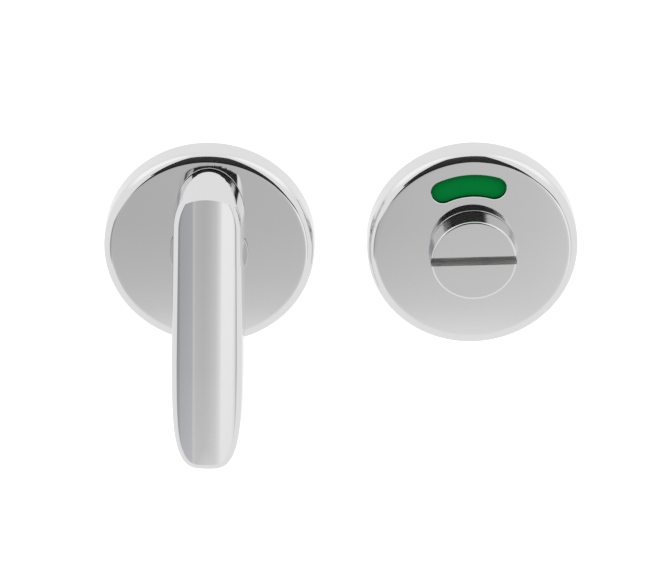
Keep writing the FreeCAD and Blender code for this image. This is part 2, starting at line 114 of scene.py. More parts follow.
# %% Camera in front and above
ELEVATION = math.radians(26.6)
AZIMUTH = math.radians(-0.2)
DISTANCE, LENS, SENSOR = 0.620, 134.5, 36.0
AIM = Vector((30.2, 0.0, -14.95)) * MM
away = Vector((math.sin(AZIMUTH) * math.cos(ELEVATION),
               -math.cos(AZIMUTH) * math.cos(ELEVATION), math.sin(ELEVATION)))
bpy.ops.object.select_all(action="DESELECT")
bpy.ops.object.camera_add(location=AIM + away * DISTANCE)
camera = bpy.context.object
camera.name = "camera"
camera.rotation_euler = (-away).to_track_quat("-Z", "Y").to_euler()
camera.data.sensor_width = SENSOR
camera.data.lens = LENS
camera.data.clip_start = 0.01
camera.data.clip_end = 50.0
bpy.context.scene.camera = camera
print("camera at", [round(v, 3) for v in camera.location])

# %% [markdown]
# ## The studio
# Polished steel has almost no colour of its own: it shows the room. So the room is made as
# the photographer's was: white all round, brighter where lamps stand at the sides, dark at
# eye height in front, and with a grey table low in front. It is painted on the world by
# direction, with the height and the compass angle of each direction looked up in ramps.
# Each stop of a ramp is an angle in degrees and a level. The camera itself sees plain white.

# %% World by direction
bpy.context.scene.view_settings.view_transform = "Standard"
world = bpy.data.worlds.new("studio")
bpy.context.scene.world = world
world.use_nodes = True
wt = world.node_tree
wt.nodes.clear()


def node(tree, kind, **sets):
    made = tree.nodes.new(kind)
    for key, value in sets.items():
        setattr(made, key, value)
    return made


def math_node(tree, operation, a, b=None):
    made = node(tree, "ShaderNodeMath", operation=operation)
    for slot, value in enumerate((a, b)):
        if value is None:
            continue
        if isinstance(value, (int, float)):
            made.inputs[slot].default_value = value
        else:
            tree.links.new(value, made.inputs[slot])
    return made.outputs[0]


def ramp(tree, factor, stops, low, high):
    """Colour ramp with its stops given as angles between low and high."""
    made = node(tree, "ShaderNodeValToRGB")
    points = made.color_ramp.elements
    while len(points) < len(stops):
        points.new(0.5)
    for point, (place, shade) in zip(points, stops):
        colour = shade if isinstance(shade, tuple) else (shade, shade, shade)
        point.position = (place - low) / (high - low)
        point.color = (*colour, 1.0)
    scaled = node(tree, "ShaderNodeMapRange")
    scaled.inputs["From Min"].default_value = math.radians(low)
    scaled.inputs["From Max"].default_value = math.radians(high)
    tree.links.new(factor, scaled.inputs["Value"])
    tree.links.new(scaled.outputs[0], made.inputs["Fac"])
    return made.outputs["Color"]


def mix(tree, factor, first, second):
    made = node(tree, "ShaderNodeMix", data_type="RGBA")
    for key, value in (("Factor", factor), ("A", first), ("B", second)):
        socket = [s for s in made.inputs if s.name == key and s.enabled][0]
        if isinstance(value, tuple):
            socket.default_value = (*value, 1.0)
        else:
            tree.links.new(value, socket)
    return [s for s in made.outputs if s.enabled][0]


way = node(wt, "ShaderNodeTexCoord").outputs["Generated"]
parts = node(wt, "ShaderNodeSeparateXYZ")
wt.links.new(way, parts.inputs[0])
height = math_node(wt, "ARCSINE", parts.outputs["Z"])
compass = math_node(wt, "ARCTAN2", parts.outputs["X"],
                    math_node(wt, "MULTIPLY", parts.outputs["Y"], -1.0))

ROOM_LEVEL = 0.84
DARK, LAMP_LIGHT = (0.02, 0.02, 0.02), (1.22, 1.22, 1.22)
DARK_PATCHES = [
    ([(-14.0, 0.0), (-11.0, 1.0), (7.0, 1.0), (10.0, 0.0)],
     [(-23.0, 0.0), (-20.0, 1.0), (13.0, 1.0), (18.0, 0.0)]),
    ([(-13.5, 0.0), (-12.5, 1.0), (-8.0, 1.0), (-5.0, 0.0)],
     [(-20.0, 0.0), (-15.0, 1.0), (26.0, 1.0), (34.0, 0.0)]),
]
LOW_FRONT = [(-31.0, 0.0), (-30.2, 1.0), (-14.0, 1.0), (-11.0, 0.0)]
LOW_SIDES = [(-42.0, 0.0), (-39.0, 1.0), (37.0, 1.0), (41.0, 0.0)]
TABLE = [
    (-36.0, 0.35), (-32.5, 0.37), (-31.0, (0.47, 0.48, 0.51)), (-18.5, (0.51, 0.52, 0.55)),
    (-17.0, 0.70), (-14.5, 0.60), (-6.0, 0.57), (0.0, 0.61), (3.0, 0.66), (6.0, 0.70),
    (10.0, 0.88), (13.0, 1.12), (24.0, 1.12), (27.0, 0.95), (29.5, 0.42), (31.0, 0.42),
    (33.0, 0.95),
]
TABLE_EDGE = [(-29.8, 1.0), (-28.7, 0.80), (-27.7, 0.35), (-26.5, 0.15), (-24.6, 0.0)]
SIDE_LAMPS = [(18.0, 0.0), (30.0, 1.0), (66.0, 1.0), (78.0, 0.0)]
LAMP_SIDES = [
    (-128.0, 0.0), (-108.0, 1.0), (-62.0, 1.0), (-56.0, 0.0),
    (56.0, 0.0), (62.0, 1.0), (108.0, 1.0), (128.0, 0.0),
]


def patch(heights, sides):
    """Full where both the height and the compass angle lie inside their stops."""
    return math_node(wt, "MULTIPLY", ramp(wt, height, heights, -90.0, 90.0),
                     ramp(wt, compass, sides, -180.0, 180.0))


dark = math_node(wt, "MAXIMUM", *(patch(*stops) for stops in DARK_PATCHES))
table = mix(wt, ramp(wt, height, TABLE_EDGE, -30.0, -24.0),
            ramp(wt, compass, TABLE, -60.0, 60.0), WHITE)
room = mix(wt, patch(SIDE_LAMPS, LAMP_SIDES), WHITE, LAMP_LIGHT)
room = mix(wt, dark, room, DARK)
room = mix(wt, patch(LOW_FRONT, LOW_SIDES), room, table)
path = node(wt, "ShaderNodeLightPath")
mirrored = math_node(wt, "MAXIMUM", path.outputs["Is Glossy Ray"],
                     path.outputs["Is Transmission Ray"])
level = node(wt, "ShaderNodeVectorMath", operation="SCALE")
wt.links.new(math_node(wt, "MAXIMUM", mirrored, ROOM_LEVEL), level.inputs["Scale"])
wt.links.new(room, level.inputs[0])
seen = mix(wt, path.outputs["Is Camera Ray"], level.outputs[0], WHITE)
sky = node(wt, "ShaderNodeBackground")
wt.links.new(seen, sky.inputs["Color"])
wt.links.new(sky.outputs[0], node(wt, "ShaderNodeOutputWorld").inputs["Surface"])

# %% [markdown]
# ## Floor and soft lamp
# The set floats over a white floor that lies far enough below to keep its shadow out of the
# picture. The metal doesn't see the floor, only the painted room. One wide lamp overhead
# gives the plastic and cast pieces a soft top light.

# %% Floor and lamp
def matt(name, shade, roughness):
    """Plain grey material; gives back the material and its shader."""
    made = bpy.data.materials.new(name)
    made.use_nodes = True
    shader = made.node_tree.nodes["Principled BSDF"]
    shader.inputs["Base Color"].default_value = (shade, shade, shade, 1.0)
    shader.inputs["Roughness"].default_value = roughness
    return made, shader


FLOOR_Z, FLOOR_GLOW = -0.36, 0.5
bpy.ops.object.select_all(action="DESELECT")
bpy.ops.mesh.primitive_plane_add(size=6.0, location=(0.03, 0.0, FLOOR_Z))
floor = bpy.context.object
floor.name = "floor"
floor.visible_glossy = False
white, shader = matt("white_floor", 0.80, 0.9)
shader.inputs["Emission Color"].default_value = (*WHITE, 1.0)
eye = node(white.node_tree, "ShaderNodeLightPath").outputs["Is Camera Ray"]
glow = math_node(white.node_tree, "MULTIPLY", eye, FLOOR_GLOW)
white.node_tree.links.new(glow, shader.inputs["Emission Strength"])
floor.data.materials.append(white)

bpy.ops.object.light_add(type="AREA", location=(0.03, -0.35, 0.75),
                         rotation=(math.radians(25.0), 0.0, 0.0))
lamp = bpy.context.object
lamp.name = "soft_top_lamp"
lamp.data.size = 0.8
lamp.data.energy = 8.0
lamp.visible_glossy = False
print("lamp energy", lamp.data.energy)

# %% [markdown]
# ## The dark card
# The black bands over the roses, the hood and the knob are the photographer and camera, half
# a metre away. Being so near, they show further to the left in the right-hand pieces, which a
# painted world can't do. So a real card stands there, seen by reflections only. Its corners
# are given as x and z in metres.

# %% Card in front
CARD_Y = -0.49
CARD = [
    (-0.17, 0.04), (0.10, 0.04), (0.10, -0.10), (0.23, -0.10),
    (0.26, 0.12), (0.26, 0.95), (-0.28, 0.95), (-0.28, 0.12),
]
bpy.ops.object.select_all(action="DESELECT")
bpy.ops.mesh.primitive_circle_add(vertices=len(CARD), radius=0.2, fill_type="NGON")
card = bpy.context.object
card.name = "dark_card"
for vertex, (x, z) in zip(card.data.vertices, CARD):
    vertex.co = (x, CARD_Y, z)
card.visible_camera = False
card.visible_diffuse = False
card.visible_shadow = False
card.data.materials.append(matt("black_card", 0.02, 1.0)[0])

# %% [markdown]
# ## Finishes
# Each finish starts from the base colour that the record gives its slot. A slow noise moves
# the roughness a little, and a fine one gives the surface its grain: hairline polish on the
# steel, cast skin on the zinc, a soft mould grain on the plastics.

# %% A finish from a colour, a roughness and a grain
SLOTS = {m["slot"]: tuple(m["base_color"]) for m in frame["record"]["materials"]}
SLOW_SCALE, SLOW_LOW, SLOW_HIGH = 90.0, 0.35, 0.65
GRAIN_DEPTH = 0.05 * MM


def finish(name, colour, metallic, rough_low, rough_high, grain, grain_scale,
           stretch=(1, 1, 1), tint=0.04):
    """Grain is the strength of the fine bumps; tint is how far the colour moves."""
    made = bpy.data.materials.new(name)
    made.use_nodes = True
    tree = made.node_tree
    shader = tree.nodes["Principled BSDF"]
    shader.inputs["Metallic"].default_value = metallic
    place = node(tree, "ShaderNodeTexCoord").outputs["Object"]
    mapping = node(tree, "ShaderNodeMapping")
    mapping.inputs["Scale"].default_value = stretch
    tree.links.new(place, mapping.inputs["Vector"])
    slow = node(tree, "ShaderNodeTexNoise")
    slow.inputs["Scale"].default_value = SLOW_SCALE
    slow.inputs["Detail"].default_value = 3.0
    tree.links.new(place, slow.inputs["Vector"])
    rough = node(tree, "ShaderNodeMapRange")
    rough.inputs["From Min"].default_value = SLOW_LOW
    rough.inputs["From Max"].default_value = SLOW_HIGH
    rough.inputs["To Min"].default_value = rough_low
    rough.inputs["To Max"].default_value = rough_high
    tree.links.new(slow.outputs["Fac"], rough.inputs["Value"])
    tree.links.new(rough.outputs[0], shader.inputs["Roughness"])
    darker = tuple(c * (1.0 - tint) for c in colour)
    lighter = tuple(min(1.0, c * (1.0 + tint)) for c in colour)
    shade = mix(tree, slow.outputs["Fac"], darker, lighter)
    tree.links.new(shade, shader.inputs["Base Color"])
    fine = node(tree, "ShaderNodeTexNoise")
    fine.inputs["Scale"].default_value = grain_scale
    fine.inputs["Detail"].default_value = 2.0
    tree.links.new(mapping.outputs[0], fine.inputs["Vector"])
    bump = node(tree, "ShaderNodeBump")
    bump.inputs["Strength"].default_value = grain
    bump.inputs["Distance"].default_value = GRAIN_DEPTH
    tree.links.new(fine.outputs["Fac"], bump.inputs["Height"])
    tree.links.new(bump.outputs[0], shader.inputs["Normal"])
    return made


STEEL_TONE = 0.84  # the record's steel under this white room, as the photograph shows it
STEEL = tuple(STEEL_TONE * c for c in SLOTS["polished_steel"])
MIRROR = finish("polished_steel", STEEL, 1.0, 0.035, 0.055, 0.015, 2500.0, tint=0.006)
MILLED = finish("milled_steel", (0.75, 0.75, 0.74), 1.0, 0.38, 0.55, 0.9, 9000.0,
                stretch=(0.06, 1, 1), tint=0.14)
TURNED = finish("turned_steel", (0.60, 0.60, 0.60), 1.0, 0.10, 0.16, 0.25, 9000.0,
                stretch=(0.05, 1, 0.05), tint=0.08)
# Window wall: rough like a punched edge. Its dark green colour is painted shade in the recess
# and a painted reflection of the green label.
WALL_SHADE_FINISH = finish("window_wall_painted_shade", (0.05, 0.08, 0.06), 1.0, 0.40, 0.55, 0.4, 9000.0,
                 stretch=(1, 0.1, 1), tint=0.15)
ZINC = finish("base_zinc", SLOTS["base_zinc"], 1.0, 0.28, 0.42, 0.5, 3500.0)
NYLON = finish("nylon", SLOTS["nylon"], 0.0, 0.40, 0.52, 0.2, 5000.0, tint=0.02)
SPRING = finish("spring_steel", SLOTS["spring_steel"], 1.0, 0.25, 0.38, 0.35, 5000.0)
PLATED = finish("plated_steel", SLOTS["plated_steel"], 1.0, 0.18, 0.28, 0.25, 4000.0,
                stretch=(1, 0.1, 1))
BLACK = finish("indicator_black", SLOTS["indicator_black"], 0.0, 0.42, 0.55, 0.25, 6000.0)
GREEN = finish("vacant_green", SLOTS["vacant_green"], 0.0, 0.45, 0.55, 0.05, 5000.0, tint=0.03)
RED = finish("engaged_red", SLOTS["engaged_red"], 0.0, 0.45, 0.55, 0.05, 5000.0, tint=0.03)
FACING_SHINE = 0.02
for facing in (GREEN, RED):
    shader = facing.node_tree.nodes["Principled BSDF"]
    shader.inputs["Specular IOR Level"].default_value = FACING_SHINE
FINISHES = {
    "polished_steel": MIRROR, "base_zinc": ZINC, "nylon": NYLON, "spring_steel": SPRING,
    "plated_steel": PLATED, "indicator_black": BLACK, "vacant_green": GREEN,
    "engaged_red": RED,
}
for part in frame["record"]["subparts"]:
    obj = frame["nodes"].get(part["node"])
    if obj is None:
        continue
    obj.data.materials.clear()
    obj.data.materials.append(FINISHES[part["material_slot"]])
print("finishes:", sorted(FINISHES))

# %% [markdown]
# ## A second finish on chosen faces
# The punched wall of the window, the milled coin slot and the turned wall of the knob aren't
# polished. Their faces are picked by a test and given a second finish. On the window wall the
# dark green colour is painted shade in the slot, with a painted reflection of the green label.

# %% Painting faces
def paint(obj, material, chosen):
    """Gives a finish to the faces whose centre in millimetres and normal pass the test."""
    only(obj)
    obj.data.materials.append(material)
    obj.active_material_index = len(obj.data.materials) - 1
    for face in obj.data.polygons:
        face.select = chosen(face.center / MM, face.normal)
    for edge in obj.data.edges:
        edge.select = False
    for vertex in obj.data.vertices:
        vertex.select = False
    bpy.ops.object.mode_set(mode="EDIT")
    bpy.ops.mesh.select_mode(type="FACE")
    bpy.ops.object.material_slot_assign()
    bpy.ops.mesh.select_mode(type="VERT")
    bpy.ops.object.mode_set(mode="OBJECT")


# %% [markdown]
# ## Turning a profile on the lathe
# Covers, knob, bolts and screws are round, so each starts as one point that is extruded along
# its profile and then spun once round its axis. The profile is a list of radius and distance
# in front of the door, in millimetres.

# %% Profiles and the lathe
def arc(r, front, radius, start, end, steps):
    """Points of a rounded edge; degrees from the radius direction towards the front."""
    found = []
    for i in range(steps + 1):
        a = math.radians(start + (end - start) * i / steps)
        found.append((r + radius * math.cos(a), front + radius * math.sin(a)))
    return found


def lathe(name, x, profile, turns=256):
    """Spins a profile round the axis at this x."""
    bpy.ops.object.select_all(action="DESELECT")
    bpy.ops.mesh.primitive_plane_add(size=0.01 * MM)
    obj = bpy.context.object
    bpy.ops.object.mode_set(mode="EDIT")
    bpy.ops.mesh.select_all(action="SELECT")
    bpy.ops.mesh.merge(type="CENTER")
    spots = [Vector((x + r * MM, -front * MM, 0.0)) for r, front in profile]
    bpy.ops.transform.translate(value=spots[0])
    for here, there in zip(spots, spots[1:]):
        bpy.ops.mesh.extrude_region_move(TRANSFORM_OT_translate={"value": there - here})
    bpy.ops.mesh.select_all(action="SELECT")
    bpy.ops.mesh.spin(steps=turns, angle=2.0 * math.pi, center=(x, 0.0, 0.0),
                      axis=(0.0, 1.0, 0.0))
    bpy.ops.object.mode_set(mode="OBJECT")
    return finish_shape(obj, name)


# %% [markdown]
# ## Rose covers
# Each cover is pressed from sheet: a shallow cup with a rolled front edge, a very slight crown
# and a round hole for the shaft. A narrow extra ring beside the hole keeps the mirror face
# true up to its edge. The release cover also gets its curved window.

# %% Both covers
ROSE_R, ROSE_DEPTH, ROLL, WALL, HOLE_R = 26.0, 7.1, 2.3, 1.2, 8.9
CROWN_R = 2200.0
FLARE = 0.2  # the side wall comes in by this much from the door to the roll
EASE = 0.05  # broken edges
HOLE_RING, FACE_STEPS = 0.12, 24


def crown(r):
    """How far the slightly crowned face lies behind a flat one at this radius."""
    return r * r / (2.0 * CROWN_R)


def cover_profile():
    edge_r = ROSE_R - FLARE - ROLL
    low = ROSE_DEPTH - crown(edge_r)
    first = HOLE_R + HOLE_RING
    points = [(HOLE_R, ROSE_DEPTH - WALL), (HOLE_R, ROSE_DEPTH - EASE)]
    points.append((HOLE_R + EASE, ROSE_DEPTH))
    for i in range(FACE_STEPS + 1):
        r = first + (edge_r - first) * i / FACE_STEPS
        points.append((r, ROSE_DEPTH - crown(r)))
    tilt = math.degrees(edge_r / CROWN_R)
    points += arc(edge_r, low - ROLL, ROLL, 90.0 - tilt, 1.5, 14)[1:]
    points += [(ROSE_R, EASE), (ROSE_R - EASE, 0.0), (ROSE_R - WALL - FLARE, 0.0)]
    points += arc(edge_r, ROSE_DEPTH - ROLL, ROLL - WALL, 0.0, 90.0, 6)
    return points + [(HOLE_R, ROSE_DEPTH - WALL)]


turn_cover = lathe("turn_cover_skin", AXES["turn"], cover_profile())
release_cover = lathe("release_cover_skin", AXES["release"], cover_profile())
print("cover faces:", len(turn_cover.data.polygons))

# %% [markdown]
# ## The indicator window
# The window is a bent slot with round ends. Its outline is worked out point by point: along
# the outer arc, round one end, back along the inner arc and round the other end. A circle of
# vertices is extruded once for each of four levels and slid onto that outline, a little wider
# in front, so that the solid it makes leaves the slot with an eased lip.

# %% Window outline and cutter
WINDOW_MID, WINDOW_HALF_W, WINDOW_SPAN, WINDOW_TURN = 17.5, 2.9, 20.9, 4.9
ARC_STEPS, END_STEPS = 48, 24


def window_outline(grow):
    half_w = WINDOW_HALF_W + grow
    middle = 90.0 + WINDOW_TURN
    first, last = middle - WINDOW_SPAN, middle + WINDOW_SPAN

    def along(reach, start, end):
        angles = [math.radians(start + (end - start) * i / ARC_STEPS)
                  for i in range(ARC_STEPS + 1)]
        return [(reach * math.cos(a), reach * math.sin(a)) for a in angles]

    def round_end(at, start):
        x, z = WINDOW_MID * math.cos(math.radians(at)), WINDOW_MID * math.sin(math.radians(at))
        angles = [math.radians(start + 180.0 * i / END_STEPS) for i in range(1, END_STEPS)]
        return [(x + half_w * math.cos(a), z + half_w * math.sin(a)) for a in angles]

    return (along(WINDOW_MID + half_w, first, last) + round_end(last, last)
            + along(WINDOW_MID - half_w, last, first) + round_end(first, first + 180.0))


def ring_body(name, around, rings, place):
    """Extrudes a circle once for each ring, then slides every vertex to its place."""
    bpy.ops.object.select_all(action="DESELECT")
    bpy.ops.mesh.primitive_circle_add(vertices=around, radius=10.0 * MM)
    obj = bpy.context.object
    bpy.ops.object.mode_set(mode="EDIT")
    bpy.ops.mesh.select_all(action="SELECT")
    for _ in range(rings - 1):
        bpy.ops.mesh.extrude_region_move(TRANSFORM_OT_translate={"value": (0.0, 0.0, MM)})
    bpy.ops.object.mode_set(mode="OBJECT")
    for vertex in obj.data.vertices:
        ring = round(vertex.co.z / MM)
        i = round(math.atan2(vertex.co.y, vertex.co.x) / (2.0 * math.pi) * around) % around
        x, height, z = place(i, ring)
        vertex.co = (x * MM, -(ROSE_DEPTH + height) * MM, z * MM)
    return finish_shape(obj, name)


def fill_ends(obj):
    only(obj)
    bpy.ops.object.mode_set(mode="EDIT")
    bpy.ops.mesh.select_all(action="SELECT")
    bpy.ops.mesh.fill_holes(sides=0)
    bpy.ops.object.mode_set(mode="OBJECT")
    return finish_shape(obj, obj.name)


LIP = 0.1
FACE_LEVEL = -crown(WINDOW_MID)
LEVELS = [
    (-3.0, 0.0), (FACE_LEVEL - LIP, 0.0), (FACE_LEVEL + EASE, LIP + EASE), (3.0, LIP + EASE),
]
OUTLINES = [window_outline(grow) for _, grow in LEVELS]


def window_point(i, ring):
    x, z = OUTLINES[ring][i]
    return x + SPACING, LEVELS[ring][0], z


def on_window_wall(centre, normal):
    off_middle = abs(math.hypot(centre.x - SPACING, centre.z) - WINDOW_MID)
    in_slot = centre.z > 8.0 and off_middle < WINDOW_HALF_W + 1.1  # well off hole and rim
    return in_slot and abs(normal.y) < 0.1 and -centre.y > ROSE_DEPTH - WALL - 0.1


window = ring_body("window_cutter", len(OUTLINES[0]), len(LEVELS), window_point)
cut_with(release_cover, fill_ends(window))
finish_shape(release_cover, "release_cover_skin")
print("release cover faces:", len(release_cover.data.polygons))

for cover, node_name in ((turn_cover, "turn_cover"), (release_cover, "release_cover")):
    even_normals(cover)
    cover.data.materials.append(MIRROR)
    if cover is release_cover:
        # The window's wall gets the painted shade and painted green reflection.
        paint(cover, WALL_SHADE_FINISH, on_window_wall)
    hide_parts(node_name)
    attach(cover, "roses")

# %% [markdown]
# ## The knob of the coin release
# A turned knob, slightly narrower at its front, with the slot for a coin milled across it. Its
# shaft runs back through the bush and has the groove for the retaining ring and the square
# socket for the spindle.

# %% Knob
KNOB_R, KNOB_FRONT_R, KNOB_FRONT, KNOB_EDGE, KNOB_BACK_EDGE = 10.85, 10.4, 12.5, 0.45, 0.25
COIN_SLOT_W, COIN_SLOT_DEPTH, COIN_SLOT_TURN = 2.3, 2.3, -1.6
NEAR = 0.02  # how close counts as on a face when faces are picked
SHAFT_R, SHAFT_END, GROOVE = 7.0, 0.3, (0.55, 1.45)
BEHIND = ROSE_DEPTH + 0.3  # back of the knob and of the lever's boss, clear of the cover


def shaft_profile():
    """From the end of the shaft past the ring groove to the back of the knob or boss."""
    bottom = SHAFT_R - 0.5
    return [(0.0, SHAFT_END), (SHAFT_R - 0.3, SHAFT_END), (SHAFT_R, GROOVE[0]),
            (bottom, GROOVE[0]), (bottom, GROOVE[1]), (SHAFT_R, GROOVE[1]), (SHAFT_R, BEHIND)]


def knob_profile():
    slope = math.degrees(math.atan2(KNOB_R - KNOB_FRONT_R, KNOB_FRONT - BEHIND))
    wide = KNOB_R - KNOB_BACK_EDGE
    points = shaft_profile() + [(wide, BEHIND)]
    points += arc(wide, BEHIND + KNOB_BACK_EDGE, KNOB_BACK_EDGE, -90.0, slope, 5)[1:]
    inner = KNOB_FRONT_R - KNOB_EDGE
    points += arc(inner, KNOB_FRONT - KNOB_EDGE, KNOB_EDGE, slope, 90.0, 10)
    return points + [(inner - 0.1, KNOB_FRONT), (inner - 1.0, KNOB_FRONT), (0.0, KNOB_FRONT)]


def block(x, size, back, front, turn=0.0):
    """Plain block used as a cutter; size is its width and height in millimetres."""
    bpy.ops.object.select_all(action="DESELECT")
    bpy.ops.mesh.primitive_cube_add(size=1.0)
    obj = bpy.context.object
    obj.scale = (size[0] * MM, (front - back) * MM, size[1] * MM)
    obj.location = (x, -(front + back) / 2.0 * MM, 0.0)
    obj.rotation_euler.y = math.radians(turn)
    bpy.ops.object.transform_apply(location=True, rotation=True, scale=True)
    return obj


SOCKET, SOCKET_END = (5.2, 5.2), 9.3
knob = lathe("release_knob_turned", AXES["release"], knob_profile())
cut_with(knob, block(AXES["release"], (30.0, COIN_SLOT_W), KNOB_FRONT - COIN_SLOT_DEPTH,
                     KNOB_FRONT + 2.0, COIN_SLOT_TURN))
cut_with(knob, block(AXES["release"], SOCKET, -2.0, SOCKET_END))
finish_shape(knob, "release_knob_turned")
even_normals(knob)
knob.data.materials.append(MIRROR)


def in_coin_slot(centre, normal):
    turn = math.radians(COIN_SLOT_TURN)
    across = centre.z * math.cos(turn) + (centre.x - SPACING) * math.sin(turn)
    floor_height = KNOB_FRONT - COIN_SLOT_DEPTH
    inside = abs(across) < COIN_SLOT_W / 2.0 + NEAR and -centre.y > floor_height - NEAR
    facing = abs(normal.z) > 0.9 or (normal.y < -0.9 and -centre.y < KNOB_FRONT - 1.0)
    return inside and facing


def on_knob_wall(centre, normal):
    outside = math.hypot(centre.x - SPACING, centre.z) > KNOB_FRONT_R - NEAR
    return outside and abs(normal.y) < 0.12 and -centre.y < KNOB_FRONT - KNOB_EDGE


paint(knob, MILLED, in_coin_slot)
paint(knob, TURNED, on_knob_wall)
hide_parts("release_knob")
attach(knob, "release")
print("knob faces:", len(knob.data.polygons))

# %% [markdown]
# ## The lever's form
# The lever is the hardest piece: a long bar with a crowned front, rolled sides, a long round
# tip, and a top end that slopes back from a crisp crest. It could be cut from blocks and
# bevelled, but cuts leave uneven faces that a mirror finish shows. So it is a tube of rings:
# every ring follows the same outline, first across the back, then up the side wall, over the
# roll and inwards across the crown to a spine. Heights are measured from the rose's face.
# The sloping top is one smooth sweep of a round arch, a little wider than the lever. It is
# made as a second solid and the two are intersected, so that the slope meets the front in a
# crest and leaves a narrow shoulder on either side.

# %% Outline and heights of the lever
# Heights of the back, of the slope's start and of the front, then the front's rise and crown.
LEVER_BACK, HOOD_BACK, LEVER_FRONT, FRONT_RISE, CROWN = 0.4, 1.8, 11.2, 0.97, 27.0
# The top end: where the slope starts and ends, the arch of the walls, the arch of the slope.
TOP_BACK_Z, TOP_FRONT_Z, TOP_LONG, HOOD_R = 22.1, 18.96, 12.0, 9.5
# The tip: its lowest point, how long its rounding is, and how square (2 is an ellipse).
TIP_Z, TIP_LONG, TIP_SQUARE = -55.3, 29.2, 3.7
# Half widths above and below, how far the walls lean in, and the roll beside the front.
HALF_TOP, HALF_LOW, DRAFT, SIDE_ROLL = 8.6, 9.07, 0.45, 1.3
# The finger hollow of the back and its eased edge; the lever rests 1.5 degrees off plumb.
GRIP_START_Z, GRIP_RISE, GRIP_STRAIGHT, REST_TURN = -13.0, 3.4, 0.32, 1.5
BACK_EDGE_TOP, BACK_EDGE_GROWTH, BACK_EDGE_FROM, BACK_EDGE_RUN = 0.12, 0.48, -7.0, 10.0
AROUND = 48  # steps along each of the four parts of the outline


def front_height(x, z):
    """Crowned across, and rising a little towards the tip."""
    down = max(0.0, TOP_FRONT_Z - z) / (TOP_FRONT_Z - TIP_Z)
    return LEVER_FRONT + FRONT_RISE * down ** 2 - (CROWN - math.sqrt(CROWN ** 2 - x * x))


def back_height(z):
    """The back is hollowed for the fingers from the rose's edge to the tip."""
    t = max(0.0, (GRIP_START_Z - z) / (GRIP_START_Z - TIP_Z + GRIP_RISE))
    return LEVER_BACK + GRIP_RISE * (GRIP_STRAIGHT * t + (1.0 - GRIP_STRAIGHT) * t * t)


def back_edge(z):
    """Width of the eased edge round the back, small near the top and wider at the grip."""
    share = min(1.0, max(0.0, (BACK_EDGE_FROM - z) / BACK_EDGE_RUN))
    return BACK_EDGE_TOP + BACK_EDGE_GROWTH * share


def outline(i, height):
    """Point of the outline at one height and its inward direction.

    The four parts are the top arch, the left side, the squarish tip and the right side.
    """
    t = (height - LEVER_BACK) / (LEVER_FRONT - LEVER_BACK)
    top = TOP_BACK_Z - TOP_LONG
    low = TIP_Z + DRAFT * t + TIP_LONG
    w_top, w_low = HALF_TOP - DRAFT * t, HALF_LOW - DRAFT * t
    part, step = divmod(i, AROUND)
    share = step / AROUND
    if part == 0:
        a = math.pi * share
        x, z = w_top * math.cos(a), top + TOP_LONG * math.sin(a)
        nx, nz = -math.cos(a) / w_top, -math.sin(a) / TOP_LONG
    elif part == 2:
        a = math.pi * (1.0 + share)
        across, down = (math.copysign(abs(v) ** (2.0 / TIP_SQUARE), v)
                        for v in (math.cos(a), math.sin(a)))
        x, z = w_low * across, low + TIP_LONG * down
        nx = -math.copysign(abs(across) ** (TIP_SQUARE - 1.0), across) / w_low
        nz = abs(down) ** (TIP_SQUARE - 1.0) / TIP_LONG
    else:
        side = -1.0 if part == 1 else 1.0
        k = share if part == 1 else 1.0 - share
        x, z = side * (w_top + (w_low - w_top) * k), top + (low - top) * k
        nx, nz = -side, 0.0
    long = math.hypot(nx, nz)
    return x, z, nx / long, nz / long


BACK_RINGS, WALL_RINGS, ROLL_RINGS, CROWN_RINGS = 4, 10, 10, 16
RINGS = BACK_RINGS + WALL_RINGS + ROLL_RINGS + CROWN_RINGS
BACK_SPINE, CROWN_SPINE = 9.0, 8.0
WALL_FROM, ROLL_FROM = LEVER_BACK + 0.4, LEVER_FRONT - 1.0


def spine(z, reach):
    """Nearest place on the middle line, which stops short of both ends by the reach."""
    return max(TIP_Z + reach, min(TOP_BACK_Z - reach, z))


def lever_point(i, ring):
    """Place of one vertex: x, height above the rose's face, z."""
    if ring < BACK_RINGS:
        x, z, nx, nz = outline(i, LEVER_BACK)
        soft = back_edge(z)
        x, z = x + soft * nx, z + soft * nz
        k = ring / (BACK_RINGS - 1.0)
        x, z = x * k, spine(z, BACK_SPINE) * (1.0 - k) + z * k
        return x, back_height(z), z
    ring -= BACK_RINGS
    if ring < WALL_RINGS:
        x, z, nx, nz = outline(i, WALL_FROM)
        low = back_height(z) + back_edge(z)
        high = front_height(x, z) - SIDE_ROLL
        height = low + (high - low) * ring / (WALL_RINGS - 1.0)
        x, z, nx, nz = outline(i, height)
        return x, height, z
    ring -= WALL_RINGS
    turn = min(1.0, (ring + 1.0) / ROLL_RINGS) * math.pi / 2.0
    inset, below = SIDE_ROLL * (1.0 - math.cos(turn)), SIDE_ROLL * (1.0 - math.sin(turn))
    x, z, nx, nz = outline(i, ROLL_FROM)
    x, z, nx, nz = outline(i, front_height(x + nx * inset, z) - below)
    x, z = x + nx * inset, z + nz * inset
    if ring < ROLL_RINGS:
        return x, front_height(x, z) - below, z
    k = (ring - ROLL_RINGS + 1.0) / CROWN_RINGS
    x, z = x * (1.0 - k), z * (1.0 - k) + spine(z, CROWN_SPINE) * k
    return x, front_height(x, z), z


# %% [markdown]
# ## Extruding the rings
# A circle of vertices is extruded once for each ring, which gives a plain tube. Each vertex
# is then slid to its place on the form, found from its ring and its place round the ring. The
# second solid has only two rings, the arch near the door and the same arch lower in front.

# %% Lever body
HOOD_STEPS, HOOD_HEIGHTS = 144, (-1.0, LEVER_FRONT + 2.0)


